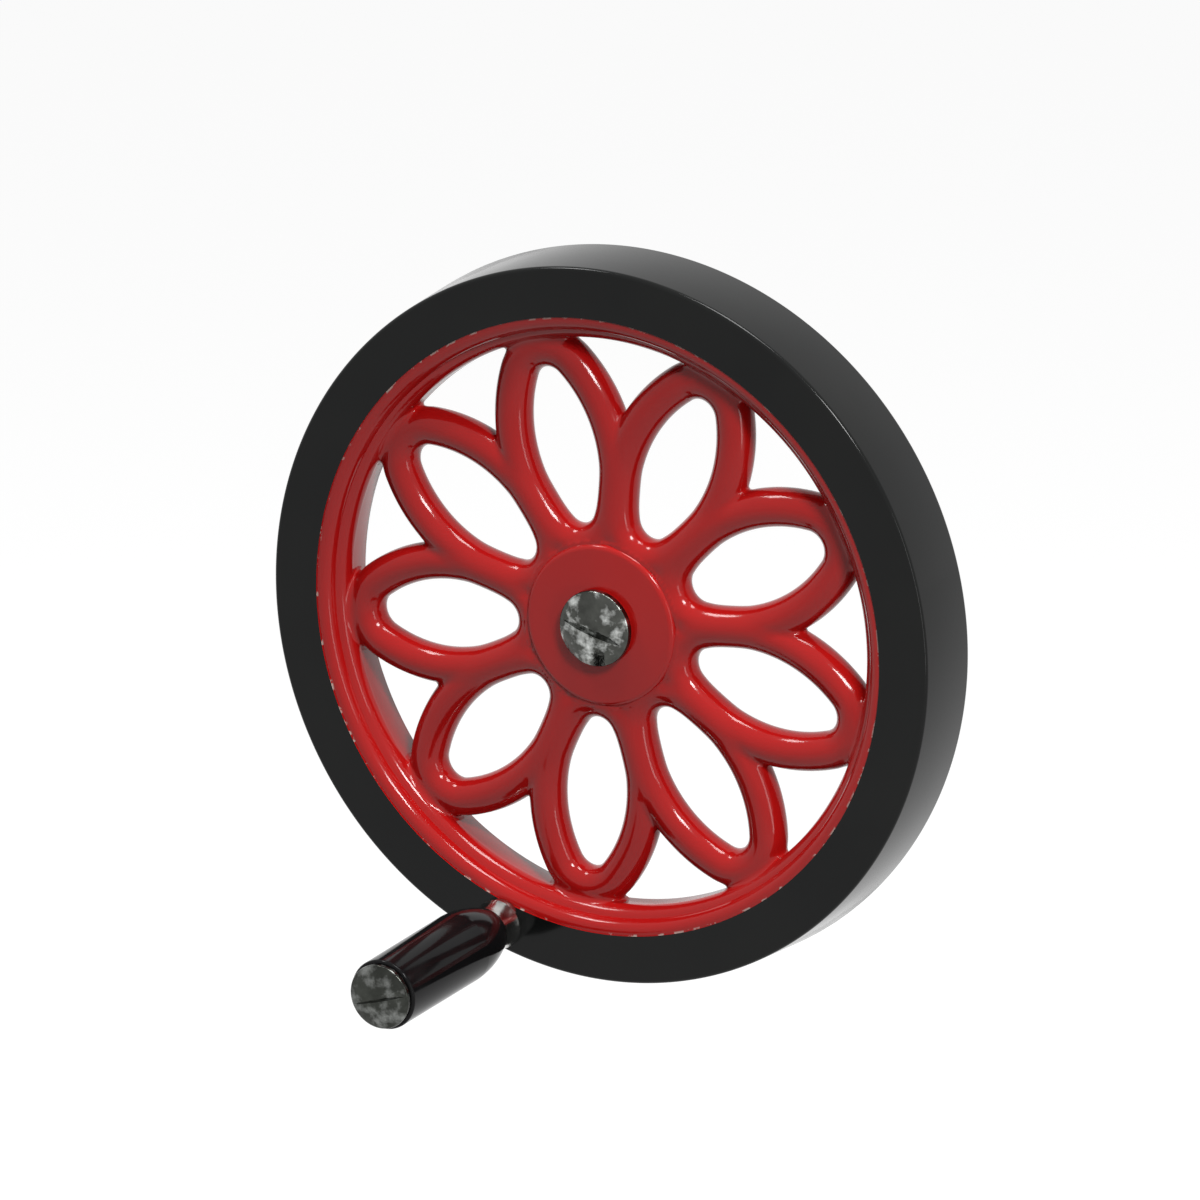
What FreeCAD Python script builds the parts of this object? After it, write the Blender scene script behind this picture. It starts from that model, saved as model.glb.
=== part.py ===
import FreeCAD, Part
import math
import os
import Sketcher
from FreeCAD import Placement, Rotation, Vector

# Flower handwheel with a revolving crank handle.
# Frame: origin on the shaft axis at the hub's rear face, +Y back along the shaft, +Z up.
# The rim's flat face, the hub screw and the handle look towards -Y.
# Inside each body the shaft or handle axis is the body's own Y axis.

os.makedirs("parts", exist_ok=True)
doc = FreeCAD.newDocument("handwheel")

# Driving dimensions, in millimetres and degrees
SIZES = {
    # rim section
    "rim_radius": 180.0,
    "rim_width": 40.0,
    "rim_taper": 3.5,
    "rim_corner": 2.0,
    "rim_back_corner": 2.5,
    "face_width": 27.7,
    "face_step": 0.6,
    "groove_step": 7.0,
    "groove_depth": 6.5,
    "outer_bead": 6.2,
    "bead_drop": 4.5,
    "inner_bead": 7.5,
    "wall_depth": 16.0,
    "wall_land": 8.0,
    "back_flare": 6.2,
    "back_corner": 2.5,
    # petal loops
    "loop_count": 9,
    "loop_turn": 25.5,
    "loop_rim_sink": 4.05,
    "loop_hub_sink": 10.15,
    "loop_side_gap": 3.23,
    "loop_end_radius": 18.0,
    "loop_bar_radius": 9.35,
    "crotch_blend": 3.0,
    # hub
    "hub_radius": 40.3,
    "hub_front": 11.0,
    "hub_edge": 3.0,
    "hub_back": 11.0,
    "boss_radius": 30.0,
    "boss_root": 32.0,
    "boss_length": 23.0,
    "boss_edge": 2.0,
    "bore_radius": 12.5,
    "bore_length": 25.0,
    "nose_radius": 10.0,
    "nose_length": 12.0,
    "key_width": 8.0,
    "key_depth": 3.3,
    # screw, washer and set screw of the hub
    "screw_radius": 6.0,
    "screw_clearance": 0.3,
    "screw_end_gap": 2.0,
    "hub_washer_radius": 17.0,
    "hub_washer_thickness": 2.0,
    "hub_head_radius": 18.7,
    "hub_head_rim": 3.0,
    "hub_head_height": 8.0,
    "hub_slot_width": 3.4,
    "hub_slot_depth": 3.6,
    "hub_slot_turn": -16.0,
    "screw_point": 1.0,
    "head_edge": 1.0,
    "set_screw_radius": 4.0,
    "set_screw_length": 11.0,
    "set_screw_back": 8.0,
    "set_screw_lift": 0.2,
    "set_socket_flats": 4.0,
    "set_socket_depth": 4.0,
    "thread_clearance": 0.03,
    # handle place and bolt
    "handle_inset": 16.2,
    "handle_turn": -107.7,
    "stud_radius": 6.0,
    "stud_clearance": 0.1,
    "journal_radius": 7.0,
    "running_clearance": 0.05,
    "bolt_head_radius": 15.8,
    "bolt_head_rim": 2.6,
    "bolt_head_height": 6.0,
    "bolt_slot_width": 3.0,
    "bolt_slot_depth": 2.8,
    "bolt_slot_turn": 17.0,
    # ferrule, washers and nut
    "ferrule_radius": 12.5,
    "ferrule_neck": 11.4,
    "ferrule_length": 14.0,
    "ferrule_foot": 3.0,
    "ferrule_waist": 40.0,
    "washer_thickness": 1.0,
    "washer_clearance": 0.3,
    "thrust_washer_radius": 10.8,
    "end_washer_radius": 12.6,
    "end_play": 0.15,
    "spring_washer_radius": 10.5,
    "spring_washer_thickness": 2.5,
    "spring_washer_gap": 2.0,
    "nut_flats": 18.0,
    "nut_height": 6.0,
    "nut_chamfer": 0.8,
    "stud_tip": 2.0,
    # grip and bushes
    "grip_length": 98.0,
    "grip_tail_radius": 12.6,
    "grip_swell": 80.0,
    "grip_shoulder_radius": 17.7,
    "grip_shoulder_length": 27.0,
    "grip_end_radius": 17.2,
    "grip_edge": 1.4,
    "grip_tail_edge": 0.8,
    "grip_recess_radius": 13.6,
    "grip_recess_depth": 0.8,
    "bush_radius": 9.5,
    "bush_sleeve": 16.0,
    "bush_flange_radius": 10.5,
    "bush_flange": 2.0,
    "bush_fit": 0.02,
}

sheet = doc.addObject("Spreadsheet::Sheet", "sheet")
for row, (name, value) in enumerate(SIZES.items(), 1):
    sheet.set("A%d" % row, name)
    sheet.set("B%d" % row, str(value))
    sheet.setAlias("B%d" % row, name)
doc.recompute()


def number(text):
    """Value of a sum of sizes such as 'rim_radius - 0.5*rim_width'."""
    total = 0.0
    sign = 1.0
    for word in text.split():
        if word in "+-":
            sign = 1.0 if word == "+" else -1.0
            continue
        term = sign
        for factor in word.split("*"):
            term *= SIZES[factor] if factor in SIZES else float(factor)
        total += term
        sign = 1.0
    return total


def formula(text):
    """The same sum as an expression on the sheet's cells."""
    words = []
    for word in text.split():
        factors = ["sheet." + f if f in SIZES else f for f in word.split("*")]
        words.append("*".join(factors))
    return " ".join(words)


def scaled(text, factor):
    """The same sum with every term multiplied by a number."""
    terms = []
    sign = 1.0
    for word in text.split():
        if word in "+-":
            sign = 1.0 if word == "+" else -1.0
            continue
        value, names = sign * factor, []
        for part in word.split("*"):
            if part in SIZES:
                names.append(part)
            else:
                value *= float(part)
        terms.append((value, names))
        sign = 1.0
    words = []
    for value, names in terms:
        words += ["+" if value >= 0 else "-", "*".join(["%.9g" % abs(value)] + names)]
    first = "-" + words[1] if words[0] == "-" else words[1]
    return " ".join([first] + words[2:])


def minus(text):
    """The same sum with every sign turned round."""
    return scaled(text, -1.0)


def make_body(name):
    body = doc.addObject("PartDesign::Body", name)
    body.Label = name
    return body


def plane(body, role):
    return next(f for f in body.Origin.OriginFeatures if f.Role == role)


def make_sketch(body, name, role, lift=None):
    """Sketch on one of the body's own planes, moved along its normal by a sum of sizes."""
    sketch = body.newObject("Sketcher::SketchObject", name)
    sketch.AttachmentSupport = [(plane(body, role), "")]
    sketch.MapMode = "FlatFace"
    if lift:
        sketch.setExpression(".AttachmentOffset.Base.z", formula(lift))
    return sketch


def pin(sketch, geometry, point, x, y):
    """Ties one point of a sketch to sums of sizes measured from the sketch's origin."""
    for kind, text in (("DistanceX", x), ("DistanceY", y)):
        i = sketch.addConstraint(Sketcher.Constraint(kind, -1, 1, geometry, point, number(text)))
        sketch.setExpression("Constraints[%d]" % i, formula(text))


def arc_between(a, b, radius, side):
    """Arc from a to b, its centre on the left of the run for side 1 and on the right for side -1."""
    chord = b.sub(a)
    half = chord.Length / 2
    rise = math.sqrt(radius ** 2 - half ** 2)
    normal = Vector(-chord.y, chord.x, 0).normalize() * side
    centre = (a + b) * 0.5 + normal * rise
    first = math.atan2(a.y - centre.y, a.x - centre.x)
    last = math.atan2(b.y - centre.y, b.x - centre.x)
    if side < 0:
        first, last = last, first
    return Part.ArcOfCircle(Part.Circle(centre, Vector(0, 0, 1), radius), first, last)


def dome_radius(a, b):
    """Radius of the arc from a to b whose centre lies on the Y axis."""
    centre = (b.x ** 2 + b.y ** 2 - a.x ** 2 - a.y ** 2) / (2 * (b.y - a.y))
    return math.hypot(a.x, a.y - centre)


def outline(body, name, points, role="XY_Plane", lift=None):
    """Closed outline. A point is (x, y), or (x, y, radius, side) where an arc leads on to the next.

    The radius "dome" puts the arc's centre on the Y axis.
    """
    sketch = make_sketch(body, name, role, lift)
    spots = [Vector(number(p[0]), number(p[1]), 0) for p in points]
    ends = []
    for i, p in enumerate(points):
        a, b = spots[i], spots[(i + 1) % len(points)]
        if len(p) == 4:
            domed = p[2] == "dome"
            radius = dome_radius(a, b) if domed else number(p[2])
            g = sketch.addGeometry(arc_between(a, b, radius, p[3]), False)
            if domed:
                sketch.addConstraint(Sketcher.Constraint("PointOnObject", g, 3, -2))
            else:
                c = sketch.addConstraint(Sketcher.Constraint("Radius", g, radius))
                sketch.setExpression("Constraints[%d]" % c, formula(p[2]))
            ends.append((g, 1, 2) if p[3] > 0 else (g, 2, 1))
        else:
            g = sketch.addGeometry(Part.LineSegment(a, b), False)
            ends.append((g, 1, 2))
    for i, p in enumerate(points):
        g, start, _ = ends[i]
        before, _, end = ends[i - 1]
        sketch.addConstraint(Sketcher.Constraint("Coincident", before, end, g, start))
        pin(sketch, g, start, p[0], p[1])
    return sketch


def revolve(body, sketch, name="turned"):
    feature = body.newObject("PartDesign::Revolution", name)
    feature.Profile = sketch
    feature.ReferenceAxis = (sketch, ["V_Axis"])
    feature.Angle = 360
    doc.recompute()
    return feature


def turned_body(name, points, role="XY_Plane"):
    """A body turned about its Y axis, or its Z axis with YZ_Plane, from an outline in radius and length."""
    body = make_body(name)
    revolve(body, outline(body, "section", points, role))
    return body


def ring(name, inner, outer, start, end):
    """A flat ring or plain tube between two places along the body's Y axis."""
    return turned_body(name, [(inner, start), (outer, start), (outer, end), (inner, end)])


def cut_pocket(body, sketch, name, length, reverse=False, both=False):
    """Pocket whose volume must fall; length is a sum of sizes, or None to go through all."""
    before = body.Shape.Volume
    pocket = body.newObject("PartDesign::Pocket", name)
    pocket.Profile = sketch
    pocket.Reversed = reverse
    if both:
        pocket.Midplane = True
    if length is None:
        pocket.Type = "ThroughAll"
    else:
        pocket.setExpression("Length", formula(length))
    doc.recompute()
    if body.Shape.Volume >= before - 1e-6:
        raise RuntimeError("%s of %s cuts nothing" % (name, body.Label))
    return pocket


def circle(body, name, role, x, y, radius, lift=None):
    sketch = make_sketch(body, name, role, lift)
    centre = Vector(number(x), number(y), 0)
    g = sketch.addGeometry(Part.Circle(centre, Vector(0, 0, 1), number(radius)), False)
    c = sketch.addConstraint(Sketcher.Constraint("Radius", g, number(radius)))
    sketch.setExpression("Constraints[%d]" % c, formula(radius))
    pin(sketch, g, 3, x, y)
    return sketch


def rectangle(body, name, role, x0, x1, y0, y1, lift=None):
    return outline(body, name, [(x0, y0), (x1, y0), (x1, y1), (x0, y1)], role, lift)


def hexagon(body, name, role, flats, lift=None):
    """Six-sided outline about the origin with a size across its flats."""
    corner, half_corner, half = "0.57735*" + flats, "0.288675*" + flats, "0.5*" + flats
    points = [(corner, "0"), (half_corner, half), (minus(half_corner), half),
              (minus(corner), "0"), (minus(half_corner), minus(half)), (half_corner, minus(half))]
    return outline(body, name, points, role, lift)


def cut_slot(body, radius, width, depth, crown):
    """Screwdriver slot right across a domed head whose crown lies at a height above the origin."""
    slot = rectangle(body, "slot_section", "XZ_Plane", minus(radius), radius,
                     "-0.5*" + width, "0.5*" + width, crown)
    cut_pocket(body, slot, "slot", depth)


def domed_head(underside, radius, rim, height):
    """Half outline of a domed head, from its crown to the outer edge of its underside."""
    return [
        ("0", minus(underside + " + " + height), "dome", 1),
        (radius, minus(underside + " + " + rim)),
        (radius, minus(underside)),
    ]


def round_edges(body, name, size, chosen, feature="PartDesign::Fillet"):
    """Fillet or chamfer on the tip's edges that pass the test."""
    base = body.Tip
    names = ["Edge%d" % (i + 1) for i, e in enumerate(base.Shape.Edges) if chosen(e)]
    if not names:
        raise RuntimeError("%s of %s finds no edge" % (name, body.Label))
    dress = body.newObject(feature, name)
    dress.Base = (base, names)
    dress.setExpression("Radius" if feature.endswith("Fillet") else "Size", formula(size))
    doc.recompute()
    return dress


def ring_at(radius, height):
    """Test for a full circle about the body's Y axis at a radius and height."""
    def test(edge):
        if edge.Degenerated or not isinstance(edge.Curve, Part.Circle):
            return False
        curve = edge.Curve
        middle = curve.Center
        return (abs(curve.Radius - number(radius)) < 0.01 and abs(middle.y - number(height)) < 0.01
                and math.hypot(middle.x, middle.z) < 0.01)
    return test


def place(body, x, y, z, turn=None):
    """Binds the body's place to sums of sizes; turn is an angle from +X towards +Z."""
    body.Placement = Placement(Vector(0, 0, 0), Rotation(Vector(0, -1, 0), 0))
    body.setExpression(".Placement.Base.x", x)
    body.setExpression(".Placement.Base.y", y)
    body.setExpression(".Placement.Base.z", z)
    if turn:
        body.Placement = Placement(Vector(0, 0, 0), Rotation(Vector(0, -1, 0), 1))
        body.setExpression(".Placement.Rotation.Angle", turn)


# Wheel: one casting. Nine closed loops of round bar lie side by side in one plane, their ends sunk
# in the hub and in the rim's inner wall.
FACE_INNER = "rim_radius - face_width"
GROOVE = FACE_INNER + " - groove_step"
WALL = GROOVE + " - bead_drop"
BACK_WALL = WALL + " + back_flare"
LOOP_OUTER = WALL + " + loop_rim_sink"
LOOP_INNER = "hub_radius - loop_hub_sink"
LOOP_CENTRE = scaled(LOOP_OUTER + " + " + LOOP_INNER, 0.5)
LOOP_HALF_LENGTH = scaled(LOOP_OUTER, 0.5) + " + " + scaled(LOOP_INNER, -0.5) + " - loop_bar_radius"
LOOP_HALF_WIDTH = scaled(LOOP_CENTRE, math.sin(math.pi / SIZES["loop_count"])) + " - loop_side_gap"

wheel = make_body("wheel")


def loop_path(body):
    """Oval of two end arcs and two side arcs, tangent where they meet."""
    sketch = make_sketch(body, "loop_path", "XZ_Plane")
    middle = number(LOOP_CENTRE)
    length = number(LOOP_HALF_LENGTH)
    width = number(LOOP_HALF_WIDTH)
    end = SIZES["loop_end_radius"]
    side = (length ** 2 + width ** 2 - 2 * length * end) / (2 * (width - end))
    join = math.atan2(side - width, length - end)
    up = Vector(0, 0, 1)

    def arc(x, y, radius, first, last):
        shape = Part.ArcOfCircle(Part.Circle(Vector(x, y, 0), up, radius), first, last)
        return sketch.addGeometry(shape, False)

    tip = arc(middle + length - end, 0, end, -join, join)
    top = arc(middle, width - side, side, join, math.pi - join)
    root = arc(middle - length + end, 0, end, math.pi - join, math.pi + join)
    low = arc(middle, side - width, side, math.pi + join, 2 * math.pi - join)
    for first, second in ((tip, top), (top, root), (root, low), (low, tip)):
        sketch.addConstraint(Sketcher.Constraint("Tangent", first, 2, second, 1))
    to_centre = LOOP_HALF_LENGTH + " - loop_end_radius"
    for g, reach in ((tip, to_centre), (root, minus(to_centre))):
        c = sketch.addConstraint(Sketcher.Constraint("Radius", g, end))
        sketch.setExpression("Constraints[%d]" % c, formula("loop_end_radius"))
        pin(sketch, g, 3, LOOP_CENTRE + " + " + reach, "0")
    for g, y in ((top, LOOP_HALF_WIDTH), (low, minus(LOOP_HALF_WIDTH))):
        spot = sketch.addGeometry(Part.Point(Vector(middle, number(y), 0)), True)
        pin(sketch, spot, 1, LOOP_CENTRE, y)
        sketch.addConstraint(Sketcher.Constraint("PointOnObject", spot, 1, g))
    return sketch


path = loop_path(wheel)
bar = circle(wheel, "bar_section", "XY_Plane", LOOP_CENTRE + " + " + LOOP_HALF_LENGTH, "0",
             "loop_bar_radius")
loop = wheel.newObject("PartDesign::AdditivePipe", "loop")
loop.Profile = bar
loop.Spine = (path, ["Edge1", "Edge2", "Edge3", "Edge4"])
doc.recompute()
loops = wheel.newObject("PartDesign::PolarPattern", "loops")
loops.Originals = [loop]
loops.Axis = (plane(wheel, "Y_Axis"), [""])
loops.Angle = 360
loops.setExpression("Occurrences", "sheet.loop_count")
wheel.Tip = loops
doc.recompute()

# The outer face widens from the front edge to the back
front = "-0.5*rim_width"
RIM_FRONT_RADIUS = "rim_radius - rim_taper"
revolve(wheel, outline(wheel, "rim_section", [
    (FACE_INNER, front),
    (RIM_FRONT_RADIUS + " - rim_corner", front, "rim_corner", 1),
    (RIM_FRONT_RADIUS, front + " + rim_corner"),
    ("rim_radius", "0.5*rim_width - rim_back_corner", "rim_back_corner", 1),
    ("rim_radius - rim_back_corner", "0.5*rim_width"),
    (BACK_WALL + " + back_corner", "0.5*rim_width", "back_corner", 1),
    (BACK_WALL, "0.5*rim_width - back_corner"),
    (WALL, front + " + wall_depth + wall_land"),
    (WALL, front + " + wall_depth", "inner_bead", 1),
    (GROOVE, front + " + groove_depth", "outer_bead", 1),
    (FACE_INNER, front + " + face_step"),
]), "rim")

rear = "hub_back + boss_length"
revolve(wheel, outline(wheel, "hub_section", [
    ("screw_radius + screw_clearance", "-1*hub_front"),
    ("hub_radius - hub_edge", "-1*hub_front", "hub_edge", 1),
    ("hub_radius", "-1*hub_front + hub_edge"),
    ("hub_radius", "hub_back - hub_edge", "hub_edge", 1),
    ("hub_radius - hub_edge", "hub_back"),
    ("boss_root", "hub_back"),
    ("boss_radius", rear + " - boss_edge", "boss_edge", 1),
    ("boss_radius - boss_edge", rear),
    ("bore_radius", rear),
    ("bore_radius", rear + " - bore_length"),
    ("nose_radius", rear + " - bore_length"),
    ("nose_radius", rear + " - bore_length - nose_length"),
    ("screw_radius + screw_clearance", rear + " - bore_length - nose_length"),
]), "hub")


def crotch_edge(edge):
    """Test for an edge in the plane half way between two loops, outside the hub's rounding."""
    first, last = edge.ParameterRange
    pitch = 360.0 / SIZES["loop_count"]
    for step in range(5):
        spot = edge.valueAt(first + (last - first) * step / 4)
        turn = math.degrees(math.atan2(spot.z, spot.x)) % pitch
        radius = math.hypot(spot.x, spot.z)
        if abs(turn - pitch / 2) > 0.05 or not number("hub_radius - hub_edge") < radius < number(WALL):
            return False
    return True


round_edges(wheel, "crotches", "crotch_blend", crotch_edge)

keyway = rectangle(wheel, "keyway_section", "XZ_Plane", "-0.5*key_width", "0.5*key_width",
                   "0", "bore_radius + key_depth", "-1*hub_back - boss_length")
cut_pocket(wheel, keyway, "keyway", "bore_length", reverse=True)

ORBIT = "(sheet.rim_radius - sheet.handle_inset)"
stud_hole = circle(wheel, "stud_hole_section", "XZ_Plane", "0", "0", "stud_radius + stud_clearance",
                   "0.5*rim_width")
hole_turn = "((sheet.handle_turn - sheet.loop_turn) * 1 deg)"
stud_hole.setExpression("AttachmentOffset.Base.x", ORBIT + " * cos" + hole_turn)
stud_hole.setExpression("AttachmentOffset.Base.y", ORBIT + " * sin" + hole_turn)
cut_pocket(wheel, stud_hole, "stud_hole", "rim_width")

set_hole = circle(wheel, "set_hole_section", "XY_Plane", "0",
                  "hub_back + boss_length - set_screw_back", "set_screw_radius", "bore_radius")
cut_pocket(wheel, set_hole, "set_hole", "hub_radius", reverse=True)
place(wheel, "0", "-sheet.hub_back - sheet.boss_length", "0", "sheet.loop_turn * 1 deg")


# Pieces on the shaft axis. Their own frames start at the hub's front face.
SHAFT_END = "hub_front + hub_back + boss_length - bore_length"
screw_end = SHAFT_END + " - screw_end_gap"

hub_screw = turned_body("hub_screw", domed_head(
    "hub_washer_thickness", "hub_head_radius", "hub_head_rim", "hub_head_height") + [
    ("screw_radius", minus("hub_washer_thickness")),
    ("screw_radius", screw_end + " - screw_point"),
    ("screw_radius - screw_point", screw_end),
    ("0", screw_end),
])
round_edges(hub_screw, "head_rim", "head_edge",
            ring_at("hub_head_radius", minus("hub_washer_thickness + hub_head_rim")))
cut_slot(hub_screw, "hub_head_radius", "hub_slot_width", "hub_slot_depth",
         "hub_washer_thickness + hub_head_height")

hub_washer = ring("hub_washer", "screw_radius + washer_clearance", "hub_washer_radius",
                  minus("hub_washer_thickness"), "0")

# Set screw: it stands on its own Z axis over the keyway
key_floor = "bore_radius + key_depth"
set_screw_top = key_floor + " + set_screw_lift + set_screw_length"
hub_set_screw = turned_body("hub_set_screw", [
    ("0", key_floor + " + set_screw_lift"),
    ("set_screw_radius - thread_clearance - screw_point", key_floor + " + set_screw_lift"),
    ("set_screw_radius - thread_clearance", key_floor + " + set_screw_lift + screw_point"),
    ("set_screw_radius - thread_clearance", set_screw_top),
    ("0", set_screw_top),
], "YZ_Plane")
cut_pocket(hub_set_screw, hexagon(hub_set_screw, "socket_section", "XY_Plane", "set_socket_flats",
                                  set_screw_top), "socket", "set_socket_depth")

for body, turn in ((hub_screw, "sheet.hub_slot_turn * 1 deg"), (hub_washer, None)):
    place(body, "0", "-sheet.hub_front - sheet.hub_back - sheet.boss_length", "0", turn)
place(hub_set_screw, "0", "-sheet.set_screw_back", "0", "sheet.loop_turn * 1 deg")


# Handle: its pieces follow one another along the bolt. Their own frames start at the rim's flat face,
# and each reach is counted from there towards -Y.
WASHER_END = "ferrule_length + washer_thickness"
GRIP_START = WASHER_END + " + end_play"
GRIP_END = GRIP_START + " + grip_length"
RECESS_FLOOR = GRIP_END + " - grip_recess_depth"
HEAD_SEAT = RECESS_FLOOR + " + end_play + washer_thickness"
STUD_END = "rim_width + spring_washer_thickness + nut_height + stud_tip"

handle_ferrule = turned_body("handle_ferrule", [
    ("stud_radius + stud_clearance", minus("ferrule_length")),
    ("ferrule_neck", minus("ferrule_length"), "ferrule_waist", -1),
    ("ferrule_radius", minus("ferrule_foot")),
    ("ferrule_radius", "0"),
    ("stud_radius + stud_clearance", "0"),
])

handle_bolt = turned_body("handle_bolt", domed_head(
    HEAD_SEAT, "bolt_head_radius", "bolt_head_rim", "bolt_head_height") + [
    ("journal_radius", minus(HEAD_SEAT)),
    ("journal_radius", minus("ferrule_length")),
    ("stud_radius", minus("ferrule_length")),
    ("stud_radius", STUD_END + " - screw_point"),
    ("stud_radius - screw_point", STUD_END),
    ("0", STUD_END),
])
round_edges(handle_bolt, "head_rim", "head_edge",
            ring_at("bolt_head_radius", minus(HEAD_SEAT + " + bolt_head_rim")))
cut_slot(handle_bolt, "bolt_head_radius", "bolt_slot_width", "bolt_slot_depth",
         HEAD_SEAT + " + bolt_head_height")

thrust_washer = ring("thrust_washer", "journal_radius + washer_clearance", "thrust_washer_radius",
                     minus(WASHER_END), minus("ferrule_length"))
end_washer = ring("end_washer", "journal_radius + washer_clearance", "end_washer_radius",
                  minus(HEAD_SEAT), minus(RECESS_FLOOR + " + end_play"))

# Grip: a tail that swells to the shoulder, a long taper, and a stepped bore for the bushes
seat = "bush_flange_radius + washer_clearance"
grip = turned_body("grip", [
    ("grip_recess_radius", minus(RECESS_FLOOR)),
    ("grip_recess_radius", minus(GRIP_END)),
    ("grip_end_radius - grip_edge", minus(GRIP_END), "grip_edge", 1),
    ("grip_end_radius", minus(GRIP_END + " - grip_edge")),
    ("grip_shoulder_radius", minus(GRIP_START + " + grip_shoulder_length"), "grip_swell", 1),
    ("grip_tail_radius", minus(GRIP_START + " + grip_tail_edge"), "grip_tail_edge", 1),
    ("grip_tail_radius - grip_tail_edge", minus(GRIP_START)),
    (seat, minus(GRIP_START)),
    (seat, minus(GRIP_START + " + bush_flange")),
    ("bush_radius", minus(GRIP_START + " + bush_flange")),
    ("bush_radius", minus(RECESS_FLOOR + " - bush_flange")),
    (seat, minus(RECESS_FLOOR + " - bush_flange")),
    (seat, minus(RECESS_FLOOR)),
])


def flanged_bush(name, flange_face, inwards):
    """Bush whose flange starts at a reach and whose sleeve runs on into the grip."""
    step = " + " if inwards > 0 else " - "
    hole = "journal_radius + running_clearance"
    sleeve = "bush_radius - bush_fit"
    points = [
        (hole, minus(flange_face)),
        ("bush_flange_radius", minus(flange_face)),
        ("bush_flange_radius", minus(flange_face + step + "bush_flange")),
        (sleeve, minus(flange_face + step + "bush_flange")),
        (sleeve, minus(flange_face + step + "bush_flange" + step + "bush_sleeve")),
        (hole, minus(flange_face + step + "bush_flange" + step + "bush_sleeve")),
    ]
    return turned_body(name, points)


inner_bush = flanged_bush("inner_bush", GRIP_START, 1)
outer_bush = flanged_bush("outer_bush", RECESS_FLOOR, -1)

# Split spring washer and thin nut behind the rim
spring_end = "rim_width + spring_washer_thickness"
spring_washer = ring("spring_washer", "stud_radius + washer_clearance", "spring_washer_radius",
                     "rim_width", spring_end)
split = rectangle(spring_washer, "split_section", "XZ_Plane", "0", "spring_washer_radius + 1",
                  "-0.5*spring_washer_gap", "0.5*spring_washer_gap", minus("rim_width"))
cut_pocket(spring_washer, split, "split", "spring_washer_thickness")

handle_nut = make_body("handle_nut")
nut_end = spring_end + " + nut_height"
block = handle_nut.newObject("PartDesign::Pad", "block")
block.Profile = hexagon(handle_nut, "nut_section", "XZ_Plane", "nut_flats", minus(nut_end))
block.setExpression("Length", formula("nut_height"))
doc.recompute()
thread_hole = circle(handle_nut, "thread_section", "XZ_Plane", "0", "0", "stud_radius + thread_clearance",
                     minus(spring_end))
cut_pocket(handle_nut, thread_hole, "thread_hole", "nut_height")
corners = handle_nut.newObject("PartDesign::Groove", "corners")
corners.Profile = outline(handle_nut, "corner_section", [
    ("0.49*nut_flats", nut_end),
    ("0.6*nut_flats", nut_end + " - nut_chamfer"),
    ("0.6*nut_flats", nut_end),
])
corners.ReferenceAxis = (corners.Profile[0], ["V_Axis"])
corners.Angle = 360
doc.recompute()

for body in (handle_ferrule, handle_bolt, thrust_washer, end_washer, grip, inner_bush, outer_bush,
             spring_washer, handle_nut):
    place(body, ORBIT + " * cos(sheet.handle_turn * 1 deg)",
          "-sheet.hub_back - sheet.boss_length - 0.5 * sheet.rim_width",
          ORBIT + " * sin(sheet.handle_turn * 1 deg)",
          "sheet.bolt_slot_turn * 1 deg")

# Every piece must be one sound solid before anything is written
doc.recompute()
bodies = [o for o in doc.Objects if o.TypeId == "PartDesign::Body"]
for item in doc.Objects:
    if {"Invalid", "Error"} & set(item.State):
        raise RuntimeError("%s is not sound: %s" % (item.Label, item.State))
for body in bodies:
    if body.Shape.isNull() or not body.Shape.isValid() or len(body.Shape.Solids) != 1:
        raise RuntimeError("%s has no sound solid" % body.Label)
for body in bodies:
    body.Shape.exportStep(os.path.join("parts", body.Label + ".step"))
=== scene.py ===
import math

import bmesh
import bpy
import numpy as np
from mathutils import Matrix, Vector


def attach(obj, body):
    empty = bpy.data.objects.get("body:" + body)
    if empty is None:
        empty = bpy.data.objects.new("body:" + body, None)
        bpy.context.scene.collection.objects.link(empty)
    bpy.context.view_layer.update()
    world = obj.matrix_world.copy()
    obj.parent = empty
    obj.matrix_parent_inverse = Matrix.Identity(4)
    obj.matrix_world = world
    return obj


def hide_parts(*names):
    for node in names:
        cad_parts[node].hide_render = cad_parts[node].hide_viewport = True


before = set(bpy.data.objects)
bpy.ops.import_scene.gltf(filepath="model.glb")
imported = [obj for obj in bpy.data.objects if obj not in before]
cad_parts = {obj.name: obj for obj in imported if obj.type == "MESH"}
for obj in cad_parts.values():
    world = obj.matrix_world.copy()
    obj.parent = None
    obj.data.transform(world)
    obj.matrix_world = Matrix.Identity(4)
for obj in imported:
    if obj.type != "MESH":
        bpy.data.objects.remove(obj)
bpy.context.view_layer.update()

# Machine handwheel: cast wheel with nine petal loops, domed hub screw and revolving handle.
# The shaft axis is Y, the front looks towards -Y. Lengths here are in millimetres until a mesh is made.
MM = 0.001
MID = -34.0                     # the loops' plane along Y
SHARP = 30.0                    # edges that turn by more than this many degrees are drawn sharp

RIM_RADIUS, RIM_HALF, RIM_TAPER = 180.0, 20.0, 3.5
FRONT_CORNER, REAR_CORNER = 2.0, 2.5
FACE_INNER, FACE_STEP = 152.3, 0.6
GROOVE, GROOVE_DEPTH = 145.3, 6.5
WALL, WALL_DEPTH, WALL_LAND = 140.8, 16.0, 8.0
BACK_WALL, BACK_CORNER = 147.0, 2.5
OUTER_BEAD, INNER_BEAD = 6.2, 7.5

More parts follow.
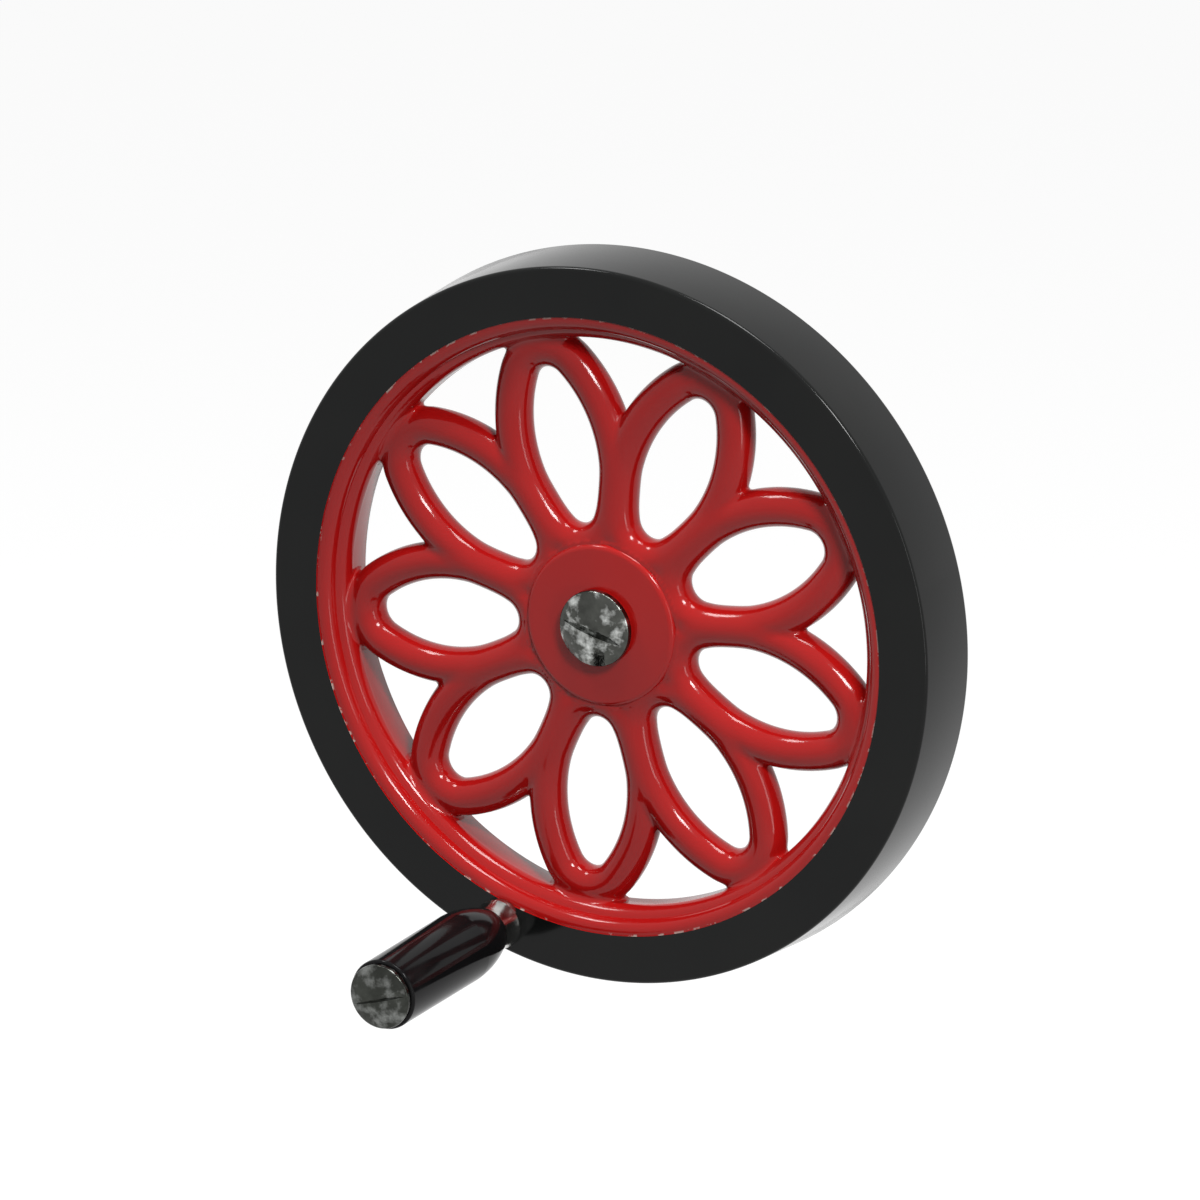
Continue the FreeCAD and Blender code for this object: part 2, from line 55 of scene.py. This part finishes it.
LOOPS, LOOP_TURN = 9, 25.5
LOOP_CENTRE, LOOP_LENGTH, LOOP_WIDTH, LOOP_END, BAR = 87.5, 48.0, 26.7, 18.0, 9.35
SIDE = (LOOP_LENGTH ** 2 + LOOP_WIDTH ** 2 - 2 * LOOP_LENGTH * LOOP_END) / (2 * (LOOP_WIDTH - LOOP_END))
JOIN = math.atan2(SIDE - LOOP_WIDTH, LOOP_LENGTH - LOOP_END)

HUB_RADIUS, HUB_HALF, HUB_EDGE = 40.3, 11.0, 3.0
LOOP_BLEND, WALL_BLEND, HUB_BLEND = 2.4, 4.5, 3.0
UNDER_SKIN = 0.15               # how far the web's skin runs behind the rim's wall where it ends
UNDER_HUB = 0.1                 # and inside the hub disc's edge
BAND_RADIUS, BAND_THICK, BAND_HALF = 144.4, 3.5, 15.0
CORE_RADIUS, CORE_THICK, CORE_HALF = 30.0, 10.2, 8.0
SKIN_REACH, SKIN_DEPTH, SKIN_INNER = 6.0, 14.5, 36.0
START_INNER, START_OUTER, START_DEPTH = 25.0, 143.0, 14.3
VOXEL = 1.4
ROUNDS = 8                      # how often the skin's points are moved towards the blended form
LEAST_SLOPE = 0.2               # the least square of slope that such a move divides by
BOSS_RADIUS, BOSS_ROOT, BOSS_LENGTH, BOSS_EDGE = 30.0, 32.0, 23.0, 2.0
BORE, BORE_LENGTH, NOSE, NOSE_LENGTH, SCREW_HOLE = 12.5, 25.0, 10.0, 12.0, 6.3
KEY_WIDTH, KEY_DEPTH, KEY_TURN = 8.0, 3.3, math.radians(90 + LOOP_TURN)
KEY_START, OVERCUT = 11.25, 2.0  # the keyway's cutter starts in the bore and ends behind the boss
SET_SCREW_HOLE, SET_SCREW_BACK, HOLE_SIDES = 4.0, 8.0, 48


def arc_points(a, b, radius, side, steps):
    """Points of an arc after a and before b; side 1 puts its centre on the left of the run."""
    a, b = np.array(a, float), np.array(b, float)
    chord = b - a
    half = np.linalg.norm(chord) / 2
    normal = np.array([-chord[1], chord[0]]) / (2 * half) * side
    centre = (a + b) / 2 + normal * math.sqrt(max(radius ** 2 - half ** 2, 0))
    first = math.atan2(*(a - centre)[::-1])
    sweep = 2 * math.asin(min(half / radius, 1)) * side
    turns = [first + sweep * i / steps for i in range(1, steps)]
    return [(centre[0] + radius * math.cos(t), centre[1] + radius * math.sin(t)) for t in turns]


def profile(points, steps=8):
    """Opens out (r, y) points and (r, y, radius, side) arcs, with the stretch that each point is on."""
    run, owner = [], []
    for i, p in enumerate(points):
        run.append((p[0], p[1]))
        owner.append(i)
        if len(p) == 4:
            q = points[(i + 1) % len(points)]
            more = arc_points(p[:2], q[:2], p[2], p[3], steps)
            run += more
            owner += [i] * len(more)
    return run, owner


def mesh_object(name, vertices, faces, materials, slots=None, sharp=SHARP):
    mesh = bpy.data.meshes.new(name)
    mesh.from_pydata([tuple(v) for v in vertices], [], faces)
    for material in materials:
        mesh.materials.append(material)
    if slots is not None:
        mesh.polygons.foreach_set("material_index", slots)
    mesh.polygons.foreach_set("use_smooth", [True] * len(mesh.polygons))
    mesh.update()
    if sharp:
        mesh.set_sharp_from_angle(angle=math.radians(sharp))
    piece = bpy.data.objects.new(name, mesh)
    bpy.context.collection.objects.link(piece)
    return piece


def lathe(name, points, materials, slot_of=lambda stretch: 0, segments=480, steps=8):
    """Closed section in radius and Y turned about the shaft axis."""
    run, owner = profile(points, steps)
    n = len(run)
    turns = np.linspace(0, 2 * math.pi, segments, endpoint=False)
    vertices = [(r * math.cos(t) * MM, (y + MID) * MM, r * math.sin(t) * MM)
                for t in turns for r, y in run]
    faces, slots = [], []
    for s in range(segments):
        a, b = s * n, ((s + 1) % segments) * n
        for i in range(n):
            j = (i + 1) % n
            faces.append((a + j, b + j, b + i, a + i))
            slots.append(slot_of(owner[i]))
    return mesh_object(name, vertices, faces, materials, slots)


# Materials

class Shader:
    """Small helper round a material's node tree."""

    def __init__(self, name):
        self.material = bpy.data.materials.new(name)
        self.material.use_nodes = True
        self.tree = self.material.node_tree
        self.bsdf = self.tree.nodes["Principled BSDF"]
        self.place = self.add("ShaderNodeTexCoord").outputs["Object"]

    def add(self, kind, **inputs):
        node = self.tree.nodes.new(kind)
        for key, value in inputs.items():
            self.put(node, key, value)
        return node

    def put(self, node, key, value):
        socket = node.inputs[int(key[1:])] if key[0] == "_" else node.inputs[key.replace("_", " ")]
        if isinstance(value, bpy.types.NodeSocket):
            self.tree.links.new(value, socket)
        else:
            socket.default_value = value

    def math(self, operation, a, b=0.0, c=0.0):
        node = self.add("ShaderNodeMath")
        node.operation = operation
        for i, value in enumerate((a, b, c)):
            self.put(node, "_%d" % i, value)
        return node.outputs[0]

    def noise(self, scale, detail=2.0, roughness=0.5, place=None):
        node = self.add("ShaderNodeTexNoise", Vector=place or self.place, Scale=scale, Detail=detail,
                        Roughness=roughness)
        return node.outputs["Fac"]

    def ramp(self, value, low, high, at_low=0.0, at_high=1.0):
        node = self.add("ShaderNodeMapRange", Value=value)
        for i, number in enumerate((low, high, at_low, at_high), 1):
            node.inputs[i].default_value = number
        return node.outputs[0]

    def mix(self, factor, a, b):
        node = self.add("ShaderNodeMix")
        node.data_type = "RGBA"
        for i, value in ((0, factor), (6, a), (7, b)):
            if isinstance(value, bpy.types.NodeSocket):
                self.tree.links.new(value, node.inputs[i])
            else:
                node.inputs[i].default_value = value
        return node.outputs[2]

    def bump(self, height, distance, strength=1.0, normal=None):
        node = self.add("ShaderNodeBump", Height=height, Distance=distance, Strength=strength)
        if normal is not None:
            self.put(node, "Normal", normal)
        return node.outputs[0]

    def radius(self):
        """Distance from the shaft axis, and depth along Y, in metres."""
        split = self.add("ShaderNodeSeparateXYZ", Vector=self.place)
        x, y, z = split.outputs
        squares = self.math("ADD", self.math("MULTIPLY", x, x), self.math("MULTIPLY", z, z))
        return self.math("SQRT", squares), y

    def set(self, **inputs):
        for key, value in inputs.items():
            self.put(self.bsdf, key, value)


def rgb(r, g, b):
    return (r, g, b, 1.0)


def red_paint():
    s = Shader("red_paint")
    broad = s.noise(9.0, 3.0)
    colour = s.mix(s.ramp(broad, 0.3, 0.7), rgb(0.41, 0.006, 0.006), rgb(0.48, 0.008, 0.007))
    radius, depth = s.radius()
    # Pale paint chips along the line where the red meets the black face, on the front only; they are
    # partly real chips and partly a painted highlight along that edge.
    from_line = s.math("ABSOLUTE", s.math("SUBTRACT", radius, FACE_INNER * MM))
    line = s.ramp(from_line, 0.0003, 0.001, 1.0, 0.0)
    front = s.ramp(depth, (MID - 18.5) * MM, (MID - 19.2) * MM)
    chips_and_edge_highlight = s.math("MULTIPLY", s.math("MULTIPLY", line, front), s.ramp(s.noise(170.0, 3.0), 0.56, 0.6))
    colour = s.mix(chips_and_edge_highlight, colour, rgb(0.55, 0.42, 0.38))
    peel = s.noise(420.0, 2.0)
    cast = s.noise(55.0, 3.0)
    normal = s.bump(peel, 0.00006, 0.35)
    normal = s.bump(cast, 0.0004, 0.35, normal)
    s.set(Base_Color=colour, Roughness=s.ramp(s.noise(30.0, 2.0), 0.3, 0.7, 0.08, 0.14), IOR=1.5,
          Specular_IOR_Level=0.27, Normal=normal)
    return s.material


def black_rim():
    s = Shader("black_rim")
    cloud = s.ramp(s.noise(14.0, 3.0), 0.35, 0.7)
    colour = s.mix(cloud, rgb(0.005, 0.0055, 0.0055), rgb(0.008, 0.0085, 0.008))
    normal = s.bump(s.noise(18.0, 2.0), 0.0006, 0.12)
    s.set(Base_Color=colour, Roughness=s.ramp(s.noise(40.0, 3.0), 0.3, 0.7, 0.08, 0.16), IOR=1.5,
          Specular_IOR_Level=0.17, Normal=normal)
    return s.material


def steel(name, base, roughness, scale=60.0, depth=0.0006, wisps=0.0):
    """Worn metal: cloudy tone, and pale wisps on it where wisps is above 0; the wisps are partly rubbed
    wear and partly painted reflection.
    """
    s = Shader(name)
    cloud = s.noise(scale, 4.0, 0.6)
    colour = s.mix(s.ramp(cloud, 0.35, 0.7), rgb(*(0.55 * c for c in base)), rgb(*base))
    if wisps:
        # Pale wisps, partly rubbed metal and partly a painted reflection of bright surroundings.
        rubbed_and_reflection_wisps = s.ramp(s.noise(scale * 0.9, 4.0, 0.6), 0.5, 0.7, 0.0, wisps)
        colour = s.mix(rubbed_and_reflection_wisps, colour, rgb(0.66, 0.68, 0.66))
    normal = s.bump(s.noise(scale * 2.2, 3.0), depth, 0.35)
    s.set(Base_Color=colour, Metallic=1.0, Normal=normal,
          Roughness=s.ramp(s.noise(scale * 1.7, 3.0), 0.3, 0.7, roughness * 0.7, roughness * 1.5))
    return s.material


def black_gloss():
    s = Shader("black_gloss")
    cloud = s.ramp(s.noise(30.0, 3.0), 0.4, 0.7)
    colour = s.mix(cloud, rgb(0.005, 0.005, 0.0055), rgb(0.008, 0.008, 0.0085))
    normal = s.bump(s.noise(70.0, 2.0), 0.0002, 0.2)
    s.set(Base_Color=colour, Roughness=s.ramp(s.noise(60.0, 2.0), 0.3, 0.7, 0.08, 0.14), IOR=1.5,
          Specular_IOR_Level=0.1, Normal=normal)
    return s.material


def bronze():
    s = Shader("bronze")
    colour = s.mix(s.ramp(s.noise(120.0, 3.0), 0.3, 0.7), rgb(0.36, 0.2, 0.09), rgb(0.5, 0.31, 0.15))
    s.set(Base_Color=colour, Metallic=1.0, Roughness=s.ramp(s.noise(90.0, 2.0), 0.3, 0.7, 0.28, 0.42),
          Normal=s.bump(s.noise(300.0, 2.0), 0.0001, 0.3))
    return s.material


red, black = red_paint(), black_rim()
polished = steel("polished_steel", (0.55, 0.55, 0.53), 0.16)
# The hub screw's dark cloudy tone and pale wisps are partly tarnish and partly painted reflection,
# standing in for the dark and bright reflections on its dome.
tarnish_and_reflection = steel("tarnish_and_reflection_steel", (0.085, 0.088, 0.08), 0.13, 110.0, 0.0009, 0.9)
dark_head = steel("dark_head_steel", (0.05, 0.053, 0.047), 0.15, 120.0, 0.0009, 0.25)
oxide = steel("oxide_steel", (0.14, 0.14, 0.14), 0.35)
gloss, bearing = black_gloss(), bronze()


# Wheel

def make_rim():
    front = -RIM_HALF
    edge = RIM_RADIUS - RIM_TAPER
    points = [
        (FACE_INNER, front),
        (edge - FRONT_CORNER, front, FRONT_CORNER, 1),
        (edge, front + FRONT_CORNER),
        (RIM_RADIUS, RIM_HALF - REAR_CORNER, REAR_CORNER, 1),
        (RIM_RADIUS - REAR_CORNER, RIM_HALF),
        (BACK_WALL + BACK_CORNER, RIM_HALF, BACK_CORNER, 1),
        (BACK_WALL, RIM_HALF - BACK_CORNER),
        (WALL, front + WALL_DEPTH + WALL_LAND),
        (WALL, front + WALL_DEPTH, INNER_BEAD, 1),
        (GROOVE, front + GROOVE_DEPTH, OUTER_BEAD, 1),
        (FACE_INNER, front + FACE_STEP),
    ]
    first_red = 5
    return lathe("rim", points, [black, red], lambda stretch: int(stretch >= first_red),
                 segments=720, steps=10)


def cutter(section, low, high, place):
    """Closed prism over a section, in the hub's bare slot."""
    n = len(section)
    vertices = [place(u, v, w) for w in (low, high) for u, v in section]
    faces = [(i, (i + 1) % n, n + (i + 1) % n, n + i) for i in range(n)]
    faces += [tuple(range(n - 1, -1, -1)), tuple(range(n, 2 * n))]
    return mesh_object("cutter", vertices, faces, [red, polished], [1] * len(faces))


def hub_point(r, across, y):
    """Place in metres: r out along the keyway's middle, across to its side."""
    c, s = math.cos(KEY_TURN), math.sin(KEY_TURN)
    return ((r * c - across * s) * MM, (y + MID) * MM, (r * s + across * c) * MM)


def cut_out(piece, cutters):
    """Cuts the closed cutters out of a piece and drops them."""
    for tool in cutters:
        change = piece.modifiers.new("cut", "BOOLEAN")
        change.solver = "EXACT"
        change.operation = "DIFFERENCE"
        change.object = tool
    graph = bpy.context.evaluated_depsgraph_get()
    mesh = bpy.data.meshes.new_from_object(piece.evaluated_get(graph))
    piece.modifiers.clear()
    piece.data = mesh
    mesh.set_sharp_from_angle(angle=math.radians(SHARP))
    for tool in cutters:
        bpy.data.objects.remove(tool, do_unlink=True)
    return piece


def make_hub():
    rear = HUB_HALF + BOSS_LENGTH
    points = [
        (SCREW_HOLE, -HUB_HALF),
        (HUB_RADIUS - HUB_EDGE, -HUB_HALF, HUB_EDGE, 1),
        (HUB_RADIUS, -HUB_HALF + HUB_EDGE),
        (HUB_RADIUS, HUB_HALF - HUB_EDGE, HUB_EDGE, 1),
        (HUB_RADIUS - HUB_EDGE, HUB_HALF),
        (BOSS_ROOT, HUB_HALF),
        (BOSS_RADIUS, rear - BOSS_EDGE, BOSS_EDGE, 1),
        (BOSS_RADIUS - BOSS_EDGE, rear),
        (BORE, rear),
        (BORE, rear - BORE_LENGTH),
        (NOSE, rear - BORE_LENGTH),
        (NOSE, rear - BORE_LENGTH - NOSE_LENGTH),
        (SCREW_HOLE, rear - BORE_LENGTH - NOSE_LENGTH),
    ]
    first_bare = 7
    hub = lathe("hub", points, [red, polished], lambda stretch: int(stretch >= first_bare),
                segments=240, steps=8)
    half, key_floor = 0.5 * KEY_WIDTH, BORE + KEY_DEPTH
    key = [(-half, KEY_START), (half, KEY_START), (half, key_floor), (-half, key_floor)]
    keyway = cutter(key, rear - BORE_LENGTH, rear + OVERCUT, lambda across, r, y: hub_point(r, across, y))
    turns = [(k + 0.5) * 2 * math.pi / HOLE_SIDES for k in range(HOLE_SIDES)]
    hole_y = rear - SET_SCREW_BACK
    circle = [(hole_y + SET_SCREW_HOLE * math.cos(t), SET_SCREW_HOLE * math.sin(t)) for t in turns]
    hole = cutter(circle, BORE, HUB_RADIUS, lambda y, across, r: hub_point(r, across, y))
    return cut_out(hub, [keyway, hole])


def blend_min(a, b, width):
    """The smaller of two distances, with the corner between them rounded over a width."""
    h = np.maximum(width - np.abs(a - b), 0) / width
    return np.minimum(a, b) - h * h * width / 4


def loop_distance(p, turn):
    """Distance from the surface of one loop's round bar."""
    c, s = math.cos(turn), math.sin(turn)
    u = np.abs(p[:, 0] * c + p[:, 2] * s - LOOP_CENTRE)
    v = np.abs(-p[:, 0] * s + p[:, 2] * c)
    to_end = np.abs(np.hypot(u - (LOOP_LENGTH - LOOP_END), v) - LOOP_END)
    to_side = np.abs(np.hypot(u, v + SIDE - LOOP_WIDTH) - SIDE)
    at_end = np.arctan2(v + SIDE - LOOP_WIDTH, u) < JOIN
    return np.hypot(np.where(at_end, to_end, to_side), p[:, 1]) - BAR


def wall_distance(p):
    """Distance in front of the rim's inner wall, near the loops' plane."""
    crest = -RIM_HALF + WALL_DEPTH
    foot = -RIM_HALF + GROOVE_DEPTH
    lip = (FACE_INNER, -RIM_HALF + FACE_STEP)
    bead = [(WALL, crest)] + arc_points((WALL, crest), (GROOVE, foot), INNER_BEAD, 1, 24)
    bead += [(GROOVE, foot)] + arc_points((GROOVE, foot), lip, OUTER_BEAD, 1, 24) + [lip]
    table = [(y, r) for r, y in reversed(bead)]
    table += [(crest + WALL_LAND, WALL), (RIM_HALF - BACK_CORNER, BACK_WALL)]
    depth, wall = np.array(table).T
    return np.interp(p[:, 1], depth, wall + UNDER_SKIN) - np.hypot(p[:, 0], p[:, 2])


def web_field(p):
    """Distance from the blended form of loops, wall and hub core."""
    total = None
    for k in range(LOOPS):
        d = loop_distance(p, math.radians(LOOP_TURN + 360 / LOOPS * k))
        total = d if total is None else blend_min(total, d, LOOP_BLEND)
    radius = np.hypot(p[:, 0], p[:, 2])
    total = blend_min(total, wall_distance(p), WALL_BLEND)
    hub = np.maximum(radius - (HUB_RADIUS - UNDER_HUB), np.abs(p[:, 1]) - CORE_HALF)
    return blend_min(total, hub, HUB_BLEND)


def web_slope(p):
    slope = np.zeros_like(p)
    step = 0.05
    for axis in range(3):
        move = np.zeros(3)
        move[axis] = step
        slope[:, axis] = (web_field(p + move) - web_field(p - move)) / (2 * step)
    return slope


def make_web():
    """Loops, hub core and a band of the rim's wall fused to one skin, with blended corners."""
    skin = bmesh.new()

    def tube(path, closed_section):
        """Sweeps a closed section of (out, along Y) offsets round a closed plane path."""
        count, around = len(path), len(closed_section)
        rings = []
        for i, (x, z) in enumerate(path):
            x0, z0 = path[i - 1]
            x1, z1 = path[(i + 1) % count]
            length = math.hypot(x1 - x0, z1 - z0)
            ox, oz = (z1 - z0) / length, -(x1 - x0) / length
            rings.append([skin.verts.new((x + ox * out, y, z + oz * out)) for out, y in closed_section])
        for i in range(count):
            a, b = rings[i], rings[(i + 1) % count]
            for j in range(around):
                k = (j + 1) % around
                skin.faces.new((a[j], b[j], b[k], a[k]))

    around_bar = np.linspace(0, 2 * math.pi, 28, endpoint=False)
    section = [(BAR * math.cos(t), BAR * math.sin(t)) for t in around_bar]
    oval = []
    for centre_u, centre_v, radius, first, last in (
            (LOOP_LENGTH - LOOP_END, 0, LOOP_END, -JOIN, JOIN),
            (0, LOOP_WIDTH - SIDE, SIDE, JOIN, math.pi - JOIN),
            (LOOP_END - LOOP_LENGTH, 0, LOOP_END, math.pi - JOIN, math.pi + JOIN),
            (0, SIDE - LOOP_WIDTH, SIDE, math.pi + JOIN, 2 * math.pi - JOIN)):
        for t in np.linspace(first, last, 24, endpoint=False):
            oval.append((LOOP_CENTRE + centre_u + radius * math.cos(t), centre_v + radius * math.sin(t)))
    for k in range(LOOPS):
        turn = math.radians(LOOP_TURN + 360 / LOOPS * k)
        c, s = math.cos(turn), math.sin(turn)
        tube([(u * c - v * s, u * s + v * c) for u, v in oval], section)
    circle = [(math.cos(t), math.sin(t)) for t in np.linspace(0, 2 * math.pi, 180, endpoint=False)]
    for radius, thick, half in (
            (BAND_RADIUS, BAND_THICK, BAND_HALF),
            (CORE_RADIUS, CORE_THICK, CORE_HALF)):
        tube([(radius * x, radius * z) for x, z in circle],
             [(-thick, -half), (thick, -half), (thick, half), (-thick, half)])
    bmesh.ops.recalc_face_normals(skin, faces=skin.faces)
    mesh = bpy.data.meshes.new("web_raw")
    skin.to_mesh(mesh)
    skin.free()
    raw = bpy.data.objects.new("web_raw", mesh)
    bpy.context.collection.objects.link(raw)
    remesh = raw.modifiers.new("remesh", "REMESH")
    remesh.mode = "VOXEL"
    remesh.voxel_size = VOXEL
    fused = raw.evaluated_get(bpy.context.evaluated_depsgraph_get()).to_mesh()
    p = np.empty(len(fused.vertices) * 3)
    fused.vertices.foreach_get("co", p)
    p = p.reshape(-1, 3)
    faces = [tuple(f.vertices) for f in fused.polygons]
    raw.to_mesh_clear()
    bpy.data.objects.remove(raw)
    # The band's and core's far sides lie deep in the metal and would land on the skin inside out
    start = np.hypot(p[:, 0], p[:, 2])
    outside = (start > START_INNER) & (start < START_OUTER) & (np.abs(p[:, 1]) < START_DEPTH)
    for _ in range(ROUNDS):
        slope = web_slope(p)
        p = p - slope * (web_field(p) / np.maximum((slope ** 2).sum(1), LEAST_SLOPE))[:, None]
    radius = np.hypot(p[:, 0], p[:, 2])
    near = np.full(len(p), 1e9)
    for k in range(LOOPS):
        near = np.minimum(near, loop_distance(p, math.radians(LOOP_TURN + 360 / LOOPS * k)))
    keep = outside & (near < SKIN_REACH) & (radius > SKIN_INNER) & (np.abs(p[:, 1]) < SKIN_DEPTH)
    faces = [f for f in faces if all(keep[i] for i in f)]
    used = np.unique(np.array([i for f in faces for i in f]))
    new_index = {int(old): i for i, old in enumerate(used)}
    p = p[used]
    normals = web_slope(p)
    normals /= np.linalg.norm(normals, axis=1)[:, None]
    faces = [tuple(new_index[i] for i in f) for f in faces]
    placed = (p + np.array([0, MID, 0])) * MM
    web = mesh_object("web", placed, faces, [red], sharp=None)
    web.data.normals_split_custom_set_from_vertices([tuple(n) for n in normals])
    return web


for piece in (make_rim(), make_hub(), make_web()):
    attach(piece, "wheel")
    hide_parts("wheel")

LOOKS = {
    "hub_screw": tarnish_and_reflection, "hub_washer": polished, "hub_set_screw": oxide, "handle_bolt": dark_head,
    "handle_ferrule": polished, "thrust_washer": oxide, "grip": gloss, "inner_bush": bearing,
    "outer_bush": bearing, "end_washer": oxide, "spring_washer": oxide, "handle_nut": polished,
}
for node, material in LOOKS.items():
    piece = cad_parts[node]
    for slot in piece.material_slots:
        slot.material = material


# Stage

def area_light(name, place, target, size, power, size_y=None):
    light = bpy.data.lights.new(name, "AREA")
    light.shape = "RECTANGLE"
    light.size = size
    light.size_y = size_y or size
    light.energy = power
    lamp = bpy.data.objects.new(name, light)
    lamp.location = place
    lamp.rotation_euler = (Vector(target) - Vector(place)).to_track_quat("-Z", "Y").to_euler()
    bpy.context.collection.objects.link(lamp)
    return lamp


middle = (0.0, -0.05, 0.0)
area_light("key", (1.0, -0.95, 1.15), middle, 0.36, 17.5)
area_light("window", (1.5, -0.9, 0.05), middle, 0.22, 4.0, 1.1)
area_light("overhead", (0.25, -0.25, 1.5), middle, 0.5, 15.0)
area_light("left", (-0.75, -0.45, 1.35), middle, 0.3, 6.0)


def seen_from_outside(tree):
    """1 for what the camera, a mirror or glass sees, 0 for the light that falls on things."""
    paths = tree.nodes.new("ShaderNodeLightPath")
    total = paths.outputs["Is Camera Ray"]
    for name in ("Is Glossy Ray", "Is Transmission Ray"):
        node = tree.nodes.new("ShaderNodeMath")
        node.operation = "MAXIMUM"
        tree.links.new(total, node.inputs[0])
        tree.links.new(paths.outputs[name], node.inputs[1])
        total = node.outputs[0]
    return total


FLOOR_HALF, FLOOR_LEVEL, FLOOR_GLOW = 14.0, -0.42, 0.93
floor_mesh = bpy.data.meshes.new("floor")
corners = [(x * FLOOR_HALF, y * FLOOR_HALF, 0) for x, y in ((-1, -1), (1, -1), (1, 1), (-1, 1))]
floor_mesh.from_pydata(corners, [], [(0, 1, 2, 3)])
floor = bpy.data.objects.new("floor", floor_mesh)
floor.location.z = FLOOR_LEVEL
bpy.context.collection.objects.link(floor)
floor_look = Shader("floor")
floor_look.set(Base_Color=rgb(0.22, 0.22, 0.22), Roughness=0.9, Specular_IOR_Level=0.0,
               Emission_Color=rgb(1, 1, 1))
level = floor_look.math("MULTIPLY", seen_from_outside(floor_look.tree), FLOOR_GLOW)
floor_look.set(Emission_Strength=level)
floor.data.materials.append(floor_look.material)

world = bpy.data.worlds.new("world")
bpy.context.scene.world = world
world.use_nodes = True
back = world.node_tree.nodes["Background"]
back.inputs["Color"].default_value = rgb(1, 1, 1)
level = world.node_tree.nodes.new("ShaderNodeMapRange")
world.node_tree.links.new(seen_from_outside(world.node_tree), level.inputs["Value"])
level.inputs["To Min"].default_value = 0.08
level.inputs["To Max"].default_value = 1.0
world.node_tree.links.new(level.outputs[0], back.inputs["Strength"])

AZIMUTH, ELEVATION = math.radians(28.365), math.radians(16.443)
camera_data = bpy.data.cameras.new("camera")
camera_data.sensor_width = 36.0
camera_data.lens = 154.9
camera_data.clip_end = 50.0
camera = bpy.data.objects.new("camera", camera_data)
camera.location = (1.1225, -2.1228, 0.7101)
camera.rotation_euler = (math.pi / 2 - ELEVATION, 0, AZIMUTH)
bpy.context.collection.objects.link(camera)
bpy.context.scene.camera = camera
bpy.context.scene.view_settings.view_transform = "Standard"
